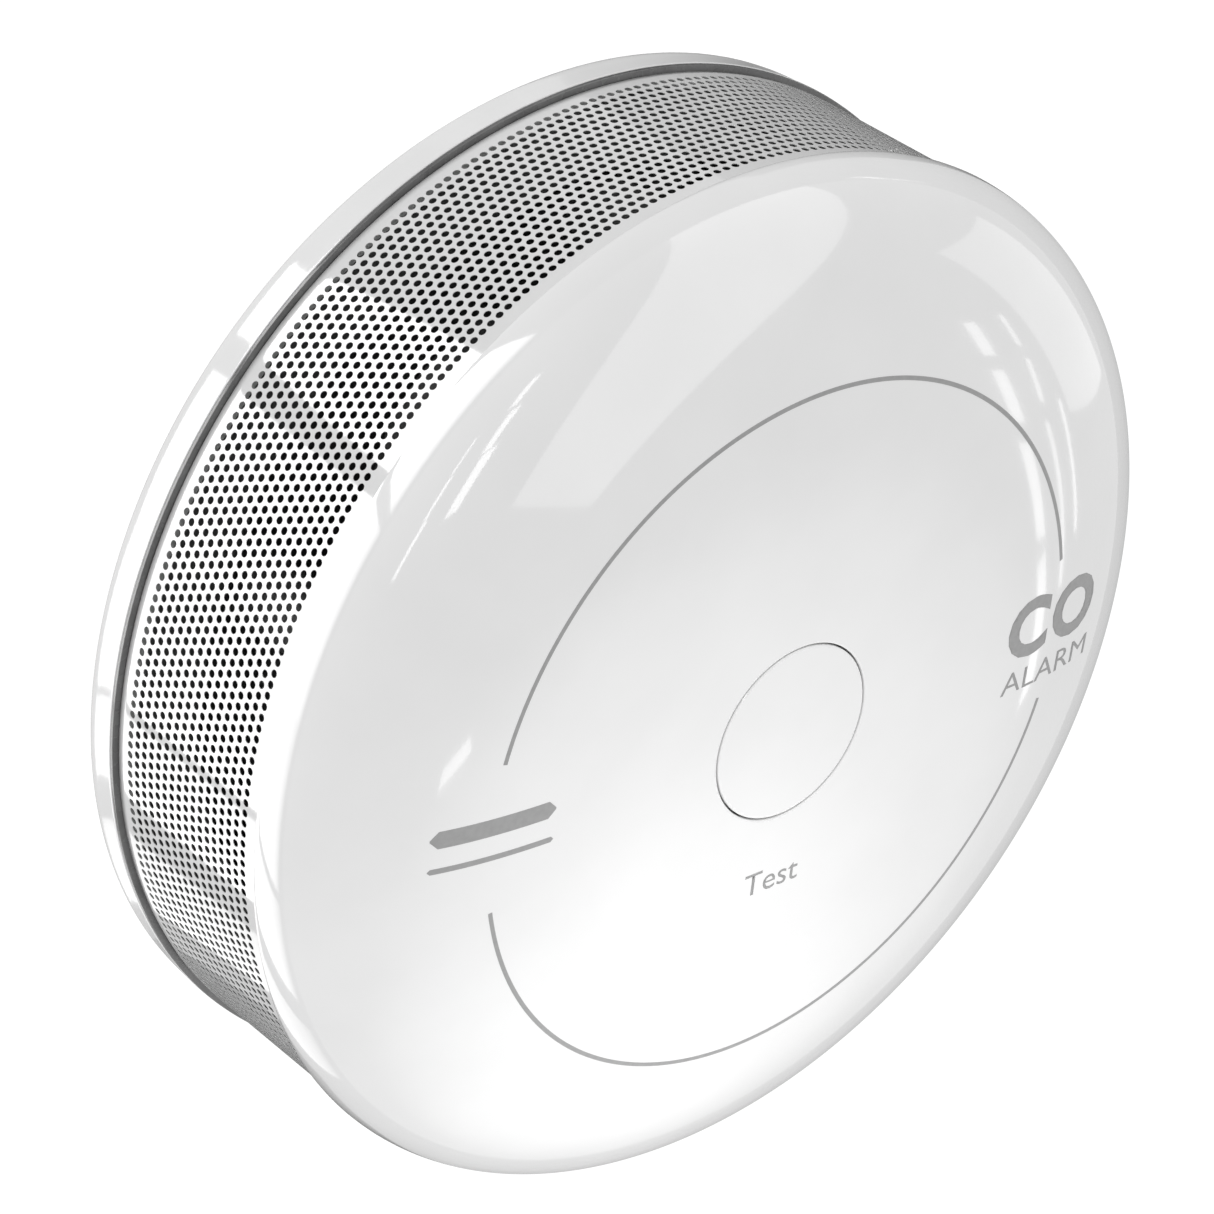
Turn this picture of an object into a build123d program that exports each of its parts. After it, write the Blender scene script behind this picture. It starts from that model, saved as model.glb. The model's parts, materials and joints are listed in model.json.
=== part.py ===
from build123d import *
import math
import os

# A round battery-powered carbon monoxide alarm. The head twists on to a wall base.
# Millimetres. The origin is the centre of the base's back face and +Z points out of
# the front. +Y is up on the printed front.

# Overall outline
DEPTH = 28.0
COVER_R = 32.5
BAND_R = 32.14

# Wall base
FOOT_R = 26.6
SHOULDER_R = 31.5
SHOULDER_Z = 4.42
SIDE_R = 32.37
SIDE_Z = 6.12
RIM_R = 32.46
RIM_Z = 7.34
RIM_BORE_R = 30.2
FLOOR = 1.8
WALL_SCREW_SPACING = 40.0
WALL_SLOT_R = 2.1
WALL_SLOT_LENGTH = 7.0
WALL_HEAD_R = 3.9

# Bayonet: three ledges on the base, three lugs on the head, locked by a clockwise turn
BAYONETS = 3
BAYONET_ANGLE = 10.0
LEDGE_ARC = 18.0
LUG_ARC = 12.0
LOCK_TURN = 18.0
LEDGE_Z = 6.3
LUG_Z = 5.15
LUG_HEIGHT = 1.0
DRIVE_ANGLE = 70.0

# Perforated band and front cover
BAND_WALL = 0.6
VENT_WALL = 0.15
BAND_Z = 7.58
BAND_TOP = 20.56
COVER_LIP_R = 32.36
COVER_LIP_Z = 20.61
COVER_SIDE_Z = 20.94
CROWN_FLAT_R = 15.4
COVER_WALL = 1.6

# Test button
BUTTON_R = 5.55
BUTTON_HOLE_R = 5.65
BUTTON_FLANGE_R = 6.5
BUTTON_FLANGE_Z = 25.35
PLUNGER_TOP = 25.0

# Rear housing of the head
TRAY_Z = 2.3
TRAY_R = 28.5
TRAY_WALL = 1.3
POST_R = 23.6
POST_ANGLES = (15, 165, 270)
SCREW_ANGLES = (90, 240, 300)
SCREW_SHELF_Z = 11.0

# Circuit board
BOARD_Z = 20.3
BOARD_T = 1.2
BOARD_TOP = BOARD_Z + BOARD_T
BOARD_R = 27.4

# Battery, a 17 x 34.5 mm lithium cell lying along X
CELL_R = 8.5
CELL_Y = -6.0
CELL_Z = 10.8
CELL_X0 = -16.6
CELL_X1 = 17.0
BAY_X0 = -19.6
BAY_X1 = 18.4
BAY_R = 8.7
BAY_WALL = 0.7

# Gas sensor, sounder and tamper plunger, placed round the battery
SENSOR_XY = (9.4, 11.7)
SOUNDER_XY = (-9.8, 13.3)
TAMPER_ANGLE = 36.0
TAMPER_RISE = 1.0
TAMPER_TIP_Z = 2.0
RAMP_ANGLES = (10, 60)
TAMPER_SWITCH_Z = 16.8

UP = (Align.CENTER, Align.CENTER, Align.MIN)
DOWN = (Align.CENTER, Align.CENTER, Align.MAX)


def polar(radius, angle, z):
    """A point at a radius and an angle round the Z axis."""
    turn = math.radians(angle)
    return (radius * math.cos(turn), radius * math.sin(turn), z)


def radial_plane(angle):
    """The plane that holds the Z axis and the ray at this angle: x outward, y up."""
    turn = math.radians(angle)
    ray = (math.cos(turn), math.sin(turn), 0)
    return Plane(origin=(0, 0, 0), x_dir=ray, z_dir=(math.sin(turn), -math.cos(turn), 0))


def around(angles, radius, z):
    """Locations at these angles on one radius, each turned to face outward."""
    return [Location(polar(radius, angle, z), (0, 0, angle)) for angle in angles]


BAYONET_ANGLES = [BAYONET_ANGLE + 360 / BAYONETS * i for i in range(BAYONETS)]
DRIVE_ANGLES = [DRIVE_ANGLE + 360 / BAYONETS * i for i in range(BAYONETS)]
TAMPER_XY = polar(POST_R, TAMPER_ANGLE, 0)[:2]
POST_SPOTS = [polar(POST_R, angle, 0)[:2] for angle in POST_ANGLES]
SCREW_SPOTS = [polar(POST_R, angle, 0)[:2] for angle in SCREW_ANGLES]

os.makedirs("parts", exist_ok=True)

# ---------------------------------------------------------------- wall base
with BuildPart() as mounting_base:
    with BuildSketch(Plane.XZ):
        with BuildLine():
            Polyline((0, FLOOR), (0, 0), (FOOT_R, 0), (SHOULDER_R, SHOULDER_Z))
            Bezier((SHOULDER_R, SHOULDER_Z), (SIDE_R, 5.2), (SIDE_R, SIDE_Z))
            Polyline(
                (SIDE_R, SIDE_Z),
                (RIM_R, RIM_Z - 0.12),
                (RIM_R - 0.12, RIM_Z),
                (RIM_BORE_R, RIM_Z),
                (RIM_BORE_R, 5.14),
                (26.5, FLOOR),
                (0, FLOOR),
            )
        make_face()
    revolve(axis=Axis.Z)
    # Groove in the rim that the seal ring's tongue runs in
    with BuildSketch(Plane.XY.offset(RIM_Z)):
        Circle(31.55)
        Circle(30.95, mode=Mode.SUBTRACT)
    extrude(amount=-0.74, mode=Mode.SUBTRACT)
    # Bayonet ledges, each with a stop below its far end and one beyond its entry gap
    for angle in BAYONET_ANGLES:
        with BuildSketch(radial_plane(angle - LEDGE_ARC / 2)):
            with Locations((29.6, LEDGE_Z + 0.45)):
                Rectangle(1.4, 0.9)
        revolve(axis=Axis.Z, revolution_arc=LEDGE_ARC)
        with BuildSketch(radial_plane(angle - LEDGE_ARC / 2)):
            with Locations((29.6, 5.9)):
                Rectangle(1.4, 1.6)
        revolve(axis=Axis.Z, revolution_arc=2)
        with BuildSketch(radial_plane(angle + LOCK_TURN + LUG_ARC / 2 + 1)):
            with Locations((29.6, 5.9)):
                Rectangle(1.4, 2.6)
        revolve(axis=Axis.Z, revolution_arc=2)
    # Stiffening ring on the floor
    with BuildSketch(Plane.XY.offset(FLOOR)):
        Circle(13.0)
        Circle(12.0, mode=Mode.SUBTRACT)
    extrude(amount=0.3)
    # Wall screw slots, each in a flat recess for the screw's head
    with BuildSketch():
        with Locations((0, WALL_SCREW_SPACING / 2), (0, -WALL_SCREW_SPACING / 2)):
            SlotOverall(WALL_SLOT_LENGTH, 2 * WALL_SLOT_R, rotation=90)
    extrude(amount=FLOOR, mode=Mode.SUBTRACT)
    with BuildSketch(Plane.XY.offset(FLOOR)):
        with Locations((0, WALL_SCREW_SPACING / 2), (0, -WALL_SCREW_SPACING / 2)):
            SlotOverall(WALL_SLOT_LENGTH + 3.6, 2 * WALL_HEAD_R, rotation=90)
    extrude(amount=-0.8, mode=Mode.SUBTRACT)
    # Ramp that pushes the tamper plunger in as the head turns home
    ramp_angle = math.radians(TAMPER_ANGLE - LOCK_TURN / 2)
    ramp_x = (math.sin(ramp_angle), -math.cos(ramp_angle), 0)
    ramp_out = (-math.cos(ramp_angle), -math.sin(ramp_angle), 0)
    ramp_s = POST_R * math.sin(math.radians(LOCK_TURN / 2))
    ramp_low = TAMPER_TIP_Z - 0.06
    with BuildSketch(
        Plane(
            origin=polar(POST_R, TAMPER_ANGLE - LOCK_TURN / 2, 0),
            x_dir=ramp_x,
            z_dir=ramp_out,
        )
    ):
        with BuildLine():
            Polyline(
                (-ramp_s - 0.6, 1.0),
                (-ramp_s - 0.6, ramp_low - 0.08),
                (ramp_s, ramp_low + TAMPER_RISE),
                (ramp_s + 1.6, ramp_low + TAMPER_RISE),
                (ramp_s + 1.6, 1.0),
                (-ramp_s - 0.6, 1.0),
            )
        make_face()
    extrude(amount=1.4, both=True)

# ---------------------------------------------------------------- seal ring
# A dark ring between the base rim and the band. Its tongue runs in the rim's groove
# and three pegs reach up into the head, so the ring turns with the head but stays
# on the base when the head lifts off.
with BuildPart() as seal_ring:
    with BuildSketch(Plane.XZ):
        with Locations((31.35, 7.46)):
            Rectangle(2.08, 0.18)
        with Locations((31.25, 7.1)):
            Rectangle(0.36, 0.7)
    revolve(axis=Axis.Z)
    for angle in DRIVE_ANGLES:
        with BuildSketch(radial_plane(angle - 4)):
            with Locations((29.8, 7.46)):
                Rectangle(1.2, 0.18)
        revolve(axis=Axis.Z, revolution_arc=8)
        with BuildSketch(radial_plane(angle - 3)):
            with Locations((29.6, 7.96)):
                Rectangle(0.7, 0.9)
        revolve(axis=Axis.Z, revolution_arc=6)

# ---------------------------------------------------------------- perforated band
# The band's fine vent holes, seventeen staggered rows all the way round, are left out
# of this solid, which keeps its true wall.
with BuildPart() as grille_band:
    with BuildSketch(Plane.XZ):
        with BuildLine():
            Polyline(
                (BAND_R - 0.1, BAND_Z),
                (BAND_R, BAND_Z + 0.58),
                (BAND_R, BAND_TOP),
                (BAND_R - BAND_WALL, BAND_TOP),
                (BAND_R - BAND_WALL, 19.8),
                (BAND_R - VENT_WALL, 19.65),
                (BAND_R - VENT_WALL, 8.45),
                (BAND_R - BAND_WALL, 8.35),
                (BAND_R - BAND_WALL, 8.08),
                (30.2, 8.08),
                (30.2, BAND_Z),
                (BAND_R - 0.1, BAND_Z),
            )
        make_face()
    revolve(axis=Axis.Z)

# ---------------------------------------------------------------- front cover
with BuildPart() as front_cover:
    with BuildSketch(Plane.XZ):
        with BuildLine():
            Line((COVER_LIP_R, COVER_LIP_Z), (COVER_R, COVER_SIDE_Z))
            Bezier(
                (COVER_R, COVER_SIDE_Z),
                (COVER_R, 24.35),
                (28.5, DEPTH),
                (CROWN_FLAT_R, DEPTH),
            )
            Polyline(
                (CROWN_FLAT_R, DEPTH),
                (BUTTON_HOLE_R + 0.12, DEPTH),
                (BUTTON_HOLE_R, DEPTH - 0.12),
                (BUTTON_HOLE_R, DEPTH - COVER_WALL),
                (CROWN_FLAT_R, DEPTH - COVER_WALL),
            )
            Bezier(
                (CROWN_FLAT_R, DEPTH - COVER_WALL),
                (27.3, DEPTH - COVER_WALL),
                (30.6, 23.8),
                (30.6, COVER_SIDE_Z),
            )
            Polyline(
                (30.6, COVER_SIDE_Z),
                (30.5, 20.4),
                (30.5, 19.75),
                (31.45, 19.75),
                (31.45, COVER_LIP_Z),
                (COVER_LIP_R, COVER_LIP_Z),
            )
        make_face()
    revolve(axis=Axis.Z)
    # Stiffening ribs under the crown
    for angle in (0, 60, 120, 180, 240, 300):
        with Locations(Location(polar(15.5, angle, 25.4), (0, 0, angle))):
            Box(11, 1.0, 1.3, align=UP)
    # Screw bosses
    with Locations(*[(x, y, 12.3) for x, y in SCREW_SPOTS]):
        Cylinder(2.3, 14.1, align=UP)
        Cylinder(1.13, 9.0, align=UP, mode=Mode.SUBTRACT)

# ---------------------------------------------------------------- test button
with BuildPart() as test_button:
    with BuildSketch(Plane.XZ):
        with BuildLine():
            Polyline(
                (0, DEPTH),
                (BUTTON_R - 0.12, DEPTH),
                (BUTTON_R, DEPTH - 0.12),
                (BUTTON_R, BUTTON_FLANGE_Z + 0.6),
                (BUTTON_FLANGE_R, BUTTON_FLANGE_Z + 0.6),
                (BUTTON_FLANGE_R, BUTTON_FLANGE_Z),
                (4.3, BUTTON_FLANGE_Z),
                (4.3, BUTTON_FLANGE_Z + 1.2),
                (1.5, BUTTON_FLANGE_Z + 1.2),
                (1.5, PLUNGER_TOP + 0.02),
                (0, PLUNGER_TOP + 0.02),
                (0, DEPTH),
            )
        make_face()
    revolve(axis=Axis.Z)

with BuildPart() as button_spring:
    with BuildLine() as button_spring_path:
        Helix(pitch=0.5, height=1.3, radius=5.3, center=(0, 0, 23.83))
    with BuildSketch(Plane(origin=button_spring_path.line @ 0, z_dir=button_spring_path.line % 0)):
        Circle(0.17)
    sweep(is_frenet=True)

with BuildPart() as test_switch:
    with Locations((0, 0, BOARD_TOP)):
        Box(6.2, 6.2, 3.0, align=UP)
    with Locations((0, 0, BOARD_TOP + 3.0)):
        Cylinder(1.85, 2.3, align=DOWN, mode=Mode.SUBTRACT)
    with Locations((0, 0, BOARD_TOP)):
        with GridLocations(7.4, 4.5, 2, 2):
            Box(1.6, 0.8, 0.25, align=UP)

with BuildPart() as test_switch_plunger:
    with Locations((0, 0, PLUNGER_TOP)):
        Cylinder(1.7, 2.1, align=DOWN)
    chamfer(test_switch_plunger.faces().sort_by(Axis.Z)[-1].edges(), 0.2)

# ---------------------------------------------------------------- light guide
# A clear ring round the button, standing on the board over the indicator lights
with BuildPart() as light_guide:
    with BuildSketch(Plane.XZ):
        with BuildLine():
            Polyline(
                (4.6, 22.9),
                (9.0, 22.9),
                (9.0, 26.3),
                (7.2, 26.3),
                (7.2, 23.6),
                (4.6, 23.6),
                (4.6, 22.9),
            )
        make_face()
    revolve(axis=Axis.Z)
    with Locations(*around((30, 150, 270), 8.0, BOARD_TOP)):
        Cylinder(0.8, 1.6, align=UP)

# ---------------------------------------------------------------- rear housing
with BuildPart() as rear_housing:
    with BuildSketch(Plane.XZ):
        with BuildLine():
            Polyline(
                (0, TRAY_Z),
                (26.4, TRAY_Z),
                (TRAY_R, 4.4),
                (TRAY_R, 8.12),
                (31.45, 8.12),
                (31.45, 8.6),
                (TRAY_R - TRAY_WALL, 8.6),
                (TRAY_R - TRAY_WALL, 4.9),
                (25.9, TRAY_Z + TRAY_WALL),
                (0, TRAY_Z + TRAY_WALL),
                (0, TRAY_Z),
            )
        make_face()
    revolve(axis=Axis.Z)
    # Bayonet lugs, at rest in the entry gaps beside the base's ledges
    for angle in BAYONET_ANGLES:
        with BuildSketch(radial_plane(angle + LOCK_TURN - LUG_ARC / 2)):
            with Locations((28.9, LUG_Z + LUG_HEIGHT / 2)):
                Rectangle(1.8, LUG_HEIGHT)
        revolve(axis=Axis.Z, revolution_arc=LUG_ARC)
    # Slots in the flange for the seal ring's pegs
    for angle in DRIVE_ANGLES:
        with BuildSketch(radial_plane(angle - 3.6)):
            with Locations((29.6, 8.4)):
                Rectangle(1.1, 1.0)
        revolve(axis=Axis.Z, revolution_arc=7.2, mode=Mode.SUBTRACT)
    # Battery bay: straight sides, arched roof, open at the back
    bay_length = BAY_X1 - BAY_X0
    bay_x = (BAY_X0 + BAY_X1) / 2
    with Locations((bay_x, CELL_Y, TRAY_Z)):
        Box(bay_length + 1.8, 2 * (BAY_R + BAY_WALL), CELL_Z - TRAY_Z, align=UP)
    with Locations((bay_x, CELL_Y, CELL_Z)):
        Cylinder(BAY_R + BAY_WALL, bay_length + 1.8, rotation=(0, 90, 0))
        Cylinder(BAY_R, bay_length, rotation=(0, 90, 0), mode=Mode.SUBTRACT)
        Box(bay_length, 2 * BAY_R, CELL_Z, align=DOWN, mode=Mode.SUBTRACT)
    with Locations((bay_x, CELL_Y, TRAY_Z)):
        Box(bay_length + 2, 2 * BAY_R, 2, align=DOWN, mode=Mode.SUBTRACT)
    # Claws that hold the battery in
    for side in (-1, 1):
        with Locations((0, CELL_Y + side * 8.1, 4.3)):
            Box(8, 1.4, 1.4, align=UP)
    # Contact tabs pass through the bay roof
    with Locations((18.1, CELL_Y, 16), (-19.3, CELL_Y, 16)):
        Box(0.7, 3.0, 6, align=UP, mode=Mode.SUBTRACT)
    # Posts that carry the circuit board
    with Locations(*[(x, y, TRAY_Z) for x, y in POST_SPOTS]):
        Cylinder(2.2, BOARD_Z - TRAY_Z, align=UP)
    with Locations(*[(x, y, BOARD_Z) for x, y in POST_SPOTS]):
        Cylinder(1.0, 7.5, align=DOWN, mode=Mode.SUBTRACT)
    # Screw tubes: the screws go in from the back and pull the cover down
    with Locations(*[(x, y, TRAY_Z) for x, y in SCREW_SPOTS]):
        Cylinder(2.7, SCREW_SHELF_Z + 1.2 - TRAY_Z, align=UP)
        Cylinder(2.0, SCREW_SHELF_Z - TRAY_Z, align=UP, mode=Mode.SUBTRACT)
        Cylinder(1.25, 12, align=UP, mode=Mode.SUBTRACT)
    # Raised channel that clears the base's ramp, with the tamper plunger's guide hole
    with BuildSketch(radial_plane(RAMP_ANGLES[0] - 2)):
        with Locations((23.6, TRAY_Z + 0.95)):
            Rectangle(4.8, 1.9)
    revolve(axis=Axis.Z, revolution_arc=RAMP_ANGLES[1] - RAMP_ANGLES[0] + 4)
    with BuildSketch(radial_plane(RAMP_ANGLES[0])):
        with Locations((23.7, TRAY_Z + 0.45)):
            Rectangle(3.8, 0.9)
    revolve(axis=Axis.Z, revolution_arc=RAMP_ANGLES[1] - RAMP_ANGLES[0], mode=Mode.SUBTRACT)
    with Locations((TAMPER_XY[0], TAMPER_XY[1], TRAY_Z)):
        Cylinder(1.1, 3, align=UP, mode=Mode.SUBTRACT)

# ---------------------------------------------------------------- circuit board
with BuildPart() as circuit_board:
    with BuildSketch(Plane.XY.offset(BOARD_Z)):
        Circle(BOARD_R)
        with Locations(*POST_SPOTS):
            Circle(1.15, mode=Mode.SUBTRACT)
        with Locations(*around(SCREW_ANGLES, POST_R, 0)):
            Circle(2.8, mode=Mode.SUBTRACT)
            Rectangle(6, 5.6, align=(Align.MIN, Align.CENTER), mode=Mode.SUBTRACT)
        with Locations((18.1, CELL_Y), (-19.3, CELL_Y)):
            Rectangle(0.8, 2.8, mode=Mode.SUBTRACT)
        with Locations(SENSOR_XY):
            with PolarLocations(4.5, 3):
                Circle(0.55, mode=Mode.SUBTRACT)
        with Locations(SOUNDER_XY):
            with PolarLocations(7.6, 2, start_angle=90):
                Circle(0.5, mode=Mode.SUBTRACT)
    extrude(amount=BOARD_T)

with BuildPart() as board_screws:
    with Locations(*[(x, y, BOARD_TOP) for x, y in POST_SPOTS]):
        Cylinder(1.9, 1.3, align=UP)
        Cylinder(0.97, 7.5, align=DOWN)
    with Locations(*[(x, y, BOARD_TOP + 1.3) for x, y in POST_SPOTS]):
        Box(2.2, 0.45, 0.7, align=DOWN, mode=Mode.SUBTRACT)
        Box(0.45, 2.2, 0.7, align=DOWN, mode=Mode.SUBTRACT)

with BuildPart() as housing_screws:
    with Locations(*[(x, y, SCREW_SHELF_Z) for x, y in SCREW_SPOTS]):
        Cylinder(1.85, 1.4, align=DOWN)
        Cylinder(1.1, 8.8, align=UP)
    with Locations(*[(x, y, SCREW_SHELF_Z - 1.4) for x, y in SCREW_SPOTS]):
        Box(2.2, 0.45, 0.8, align=UP, mode=Mode.SUBTRACT)
        Box(0.45, 2.2, 0.8, align=UP, mode=Mode.SUBTRACT)

# ---------------------------------------------------------------- battery
with BuildPart() as battery_can:
    with Locations(((CELL_X0 + CELL_X1) / 2, CELL_Y, CELL_Z)):
        Cylinder(8.3, CELL_X1 - CELL_X0, rotation=(0, 90, 0))
    fillet(battery_can.faces().sort_by(Axis.X)[-1].edges(), 0.6)
    fillet(battery_can.faces().sort_by(Axis.X)[0].edges(), 0.6)

with BuildPart() as battery_sleeve:
    with Locations(((CELL_X0 + CELL_X1) / 2, CELL_Y, CELL_Z)):
        Cylinder(CELL_R, CELL_X1 - CELL_X0 - 1.4, rotation=(0, 90, 0))
        Cylinder(8.32, CELL_X1 - CELL_X0, rotation=(0, 90, 0), mode=Mode.SUBTRACT)

with BuildPart() as battery_washer:
    with Locations((CELL_X1 + 0.12, CELL_Y, CELL_Z)):
        Cylinder(7.4, 0.2, rotation=(0, 90, 0))
        Cylinder(3.6, 0.2, rotation=(0, 90, 0), mode=Mode.SUBTRACT)

with BuildPart() as battery_terminal:
    with Locations((CELL_X1 + 0.46, CELL_Y, CELL_Z)):
        Cylinder(3.2, 0.88, rotation=(0, 90, 0))
    fillet(battery_terminal.faces().sort_by(Axis.X)[-1].edges(), 0.3)

with BuildPart() as positive_contact:
    with Locations((18.1, CELL_Y, CELL_Z)):
        Box(0.3, 8, 9)
    with Locations((18.1, CELL_Y, CELL_Z + 4.5)):
        Box(0.3, 2.2, 7.2, align=UP)

with BuildPart() as negative_contact:
    with Locations((-19.35, CELL_Y, CELL_Z)):
        Box(0.3, 9, 9)
    with Locations((-19.35, CELL_Y, CELL_Z + 4.5)):
        Box(0.3, 2.2, 7.2, align=UP)

with BuildPart() as negative_spring:
    with BuildLine() as negative_spring_path:
        Helix(
            pitch=0.9,
            height=1.9,
            radius=3.4,
            center=(-18.87, CELL_Y, CELL_Z),
            direction=(1, 0, 0),
        )
    with BuildSketch(
        Plane(origin=negative_spring_path.line @ 0, z_dir=negative_spring_path.line % 0)
    ):
        Circle(0.28)
    sweep(is_frenet=True)

# ---------------------------------------------------------------- gas sensor
with BuildPart() as sensor_can:
    with Locations((SENSOR_XY[0], SENSOR_XY[1], 10.3)):
        Cylinder(7.0, 8.9, align=UP)
    fillet(sensor_can.edges().filter_by(GeomType.CIRCLE), 0.4)

with BuildPart() as sensor_cap:
    with Locations((SENSOR_XY[0], SENSOR_XY[1], 9.4)):
        Cylinder(7.6, 3.4, align=UP)
    with Locations((SENSOR_XY[0], SENSOR_XY[1], 10.26)):
        Cylinder(7.05, 3.4, align=UP, mode=Mode.SUBTRACT)
    with Locations((SENSOR_XY[0], SENSOR_XY[1], 9.4)):
        Cylinder(1.0, 2, align=UP, mode=Mode.SUBTRACT)
        with PolarLocations(3.4, 6):
            Cylinder(0.8, 2, align=UP, mode=Mode.SUBTRACT)

with BuildPart() as sensor_pins:
    with Locations((SENSOR_XY[0], SENSOR_XY[1], 19.22)):
        with PolarLocations(4.5, 3):
            Cylinder(0.45, 3.3, align=UP)

# ---------------------------------------------------------------- sounder
with BuildPart() as sounder_housing:
    with Locations((SOUNDER_XY[0], SOUNDER_XY[1], 12.3)):
        Cylinder(9.5, 7.0, align=UP)
    with Locations((SOUNDER_XY[0], SOUNDER_XY[1], 13.3)):
        Cylinder(8.0, 6.0, align=UP, mode=Mode.SUBTRACT)
    with Locations((SOUNDER_XY[0], SOUNDER_XY[1], 18.2)):
        Cylinder(8.7, 2.0, align=UP, mode=Mode.SUBTRACT)
    with Locations((SOUNDER_XY[0], SOUNDER_XY[1], 12.3)):
        Cylinder(2.4, 2.0, align=UP, mode=Mode.SUBTRACT)

with BuildPart() as sounder_lid:
    with Locations((SOUNDER_XY[0], SOUNDER_XY[1], 19.32)):
        Cylinder(9.5, 0.8, align=UP)
        with PolarLocations(7.6, 2, start_angle=90):
            Cylinder(0.5, 2, align=UP, mode=Mode.SUBTRACT)

with BuildPart() as sounder_diaphragm:
    with Locations((SOUNDER_XY[0], SOUNDER_XY[1], 18.22)):
        Cylinder(8.6, 0.2, align=UP)

with BuildPart() as sounder_ceramic:
    with Locations((SOUNDER_XY[0], SOUNDER_XY[1], 18.44)):
        Cylinder(6.0, 0.2, align=UP)

with BuildPart() as sounder_pins:
    with Locations((SOUNDER_XY[0], SOUNDER_XY[1], 18.44)):
        with PolarLocations(7.6, 2, start_angle=90):
            Cylinder(0.4, 4.0, align=UP)

# ---------------------------------------------------------------- tamper plunger
with BuildPart() as tamper_plunger:
    with BuildSketch(Plane.XZ):
        with BuildLine():
            ThreePointArc(
                (0, TAMPER_TIP_Z),
                (math.sqrt(0.5), TAMPER_TIP_Z + 1 - math.sqrt(0.5)),
                (1, TAMPER_TIP_Z + 1),
            )
            Polyline(
                (1, TAMPER_TIP_Z + 1),
                (1, 4.6),
                (1.9, 4.6),
                (1.9, 5.3),
                (1, 5.3),
                (1, 17.6),
                (0, 17.6),
                (0, TAMPER_TIP_Z),
            )
        make_face()
    revolve(axis=Axis.Z)
tamper_plunger.part.position = (TAMPER_XY[0], TAMPER_XY[1], 0)

with BuildPart() as tamper_spring:
    with BuildLine() as tamper_spring_path:
        Helix(pitch=1.4, height=10.8, radius=1.5, center=(TAMPER_XY[0], TAMPER_XY[1], 5.65))
    with BuildSketch(Plane(origin=tamper_spring_path.line @ 0, z_dir=tamper_spring_path.line % 0)):
        Circle(0.2)
    sweep(is_frenet=True)

with BuildPart() as tamper_switch:
    with Locations(Location((TAMPER_XY[0], TAMPER_XY[1], TAMPER_SWITCH_Z), (0, 0, TAMPER_ANGLE))):
        Box(4.0, 4.0, BOARD_Z - TAMPER_SWITCH_Z - 0.02, align=UP)
        Cylinder(1.15, 2.4, align=UP, mode=Mode.SUBTRACT)

# ---------------------------------------------------------------- board components
with BuildPart() as status_lights:
    with Locations(*around((90, 210, 330), 8.0, BOARD_TOP)):
        Box(1.2, 2.0, 0.8, align=UP)

with BuildPart() as radio_shield:
    with Locations((-11.5, 15.0, BOARD_TOP)):
        Box(12, 10, 2.4, align=UP)
    fillet(radio_shield.edges().filter_by(Axis.Z), 0.5)
    fillet(radio_shield.faces().sort_by(Axis.Z)[-1].edges(), 0.3)
    with Locations((-11.5, 15.0, BOARD_TOP)):
        Box(11.4, 9.4, 2.1, align=UP, mode=Mode.SUBTRACT)

with BuildPart() as radio_chip:
    with Locations((-11.5, 15.0, BOARD_TOP)):
        Box(5, 5, 0.9, align=UP)

with BuildPart() as microcontroller:
    with Locations((13.0, -12.0, BOARD_TOP)):
        Box(7, 7, 0.9, align=UP)
    with Locations((10.5, -9.5, BOARD_TOP + 0.9)):
        Cylinder(0.4, 0.1, align=DOWN, mode=Mode.SUBTRACT)

with BuildPart() as sensor_amplifier:
    with Locations((12.5, 17.5, BOARD_TOP)):
        Box(4, 4, 0.9, align=UP)

with BuildPart() as crystal:
    with Locations((5.0, -15.0, BOARD_TOP)):
        Box(3.2, 2.5, 0.8, align=UP)
    fillet(crystal.edges().filter_by(Axis.Z), 0.3)

with BuildPart() as sounder_coil:
    with Locations((-12.0, -12.0, BOARD_TOP)):
        Box(6, 6, 3.0, align=UP)
    chamfer(sounder_coil.edges().filter_by(Axis.Z), 1.0)
    with Locations((-12.0, -12.0, BOARD_TOP + 3.0)):
        Cylinder(2.2, 0.3, align=DOWN, mode=Mode.SUBTRACT)

with BuildPart() as reservoir_capacitor:
    with Locations((15.5, 1.5, BOARD_TOP)):
        Box(5.3, 5.3, 0.8, align=UP)
        Cylinder(2.5, 3.7, align=UP)
    fillet(reservoir_capacitor.faces().sort_by(Axis.Z)[-1].edges(), 0.3)

with BuildPart() as temperature_sensor:
    with Locations((25.2, -5.4, BOARD_TOP)):
        Box(1.6, 2.6, 0.9, align=UP)

with BuildPart() as antenna:
    with BuildLine() as antenna_path:
        Helix(
            pitch=1.3,
            height=9.1,
            radius=1.2,
            center=polar(23.3, 192, BOARD_TOP + 1.5),
            direction=(math.sin(math.radians(200)), -math.cos(math.radians(200)), 0),
        )
    with BuildSketch(Plane(origin=antenna_path.line @ 0, z_dir=antenna_path.line % 0)):
        Circle(0.25)
    sweep(is_frenet=True)

with BuildPart() as chip_resistors:
    for radius, angles in ((11.5, (262, 274, 286, 298)), (20.5, (280, 287, 294)), (19.0, (22, 28))):
        with Locations(*around(angles, radius, BOARD_TOP)):
            Box(0.8, 1.6, 0.5, align=UP)

with BuildPart() as chip_capacitors:
    for radius, angles in ((11.5, (62, 74, 86)), (20.0, (250, 258)), (22.5, (328, 335))):
        with Locations(*around(angles, radius, BOARD_TOP)):
            Box(1.2, 2.0, 1.0, align=UP)

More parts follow.
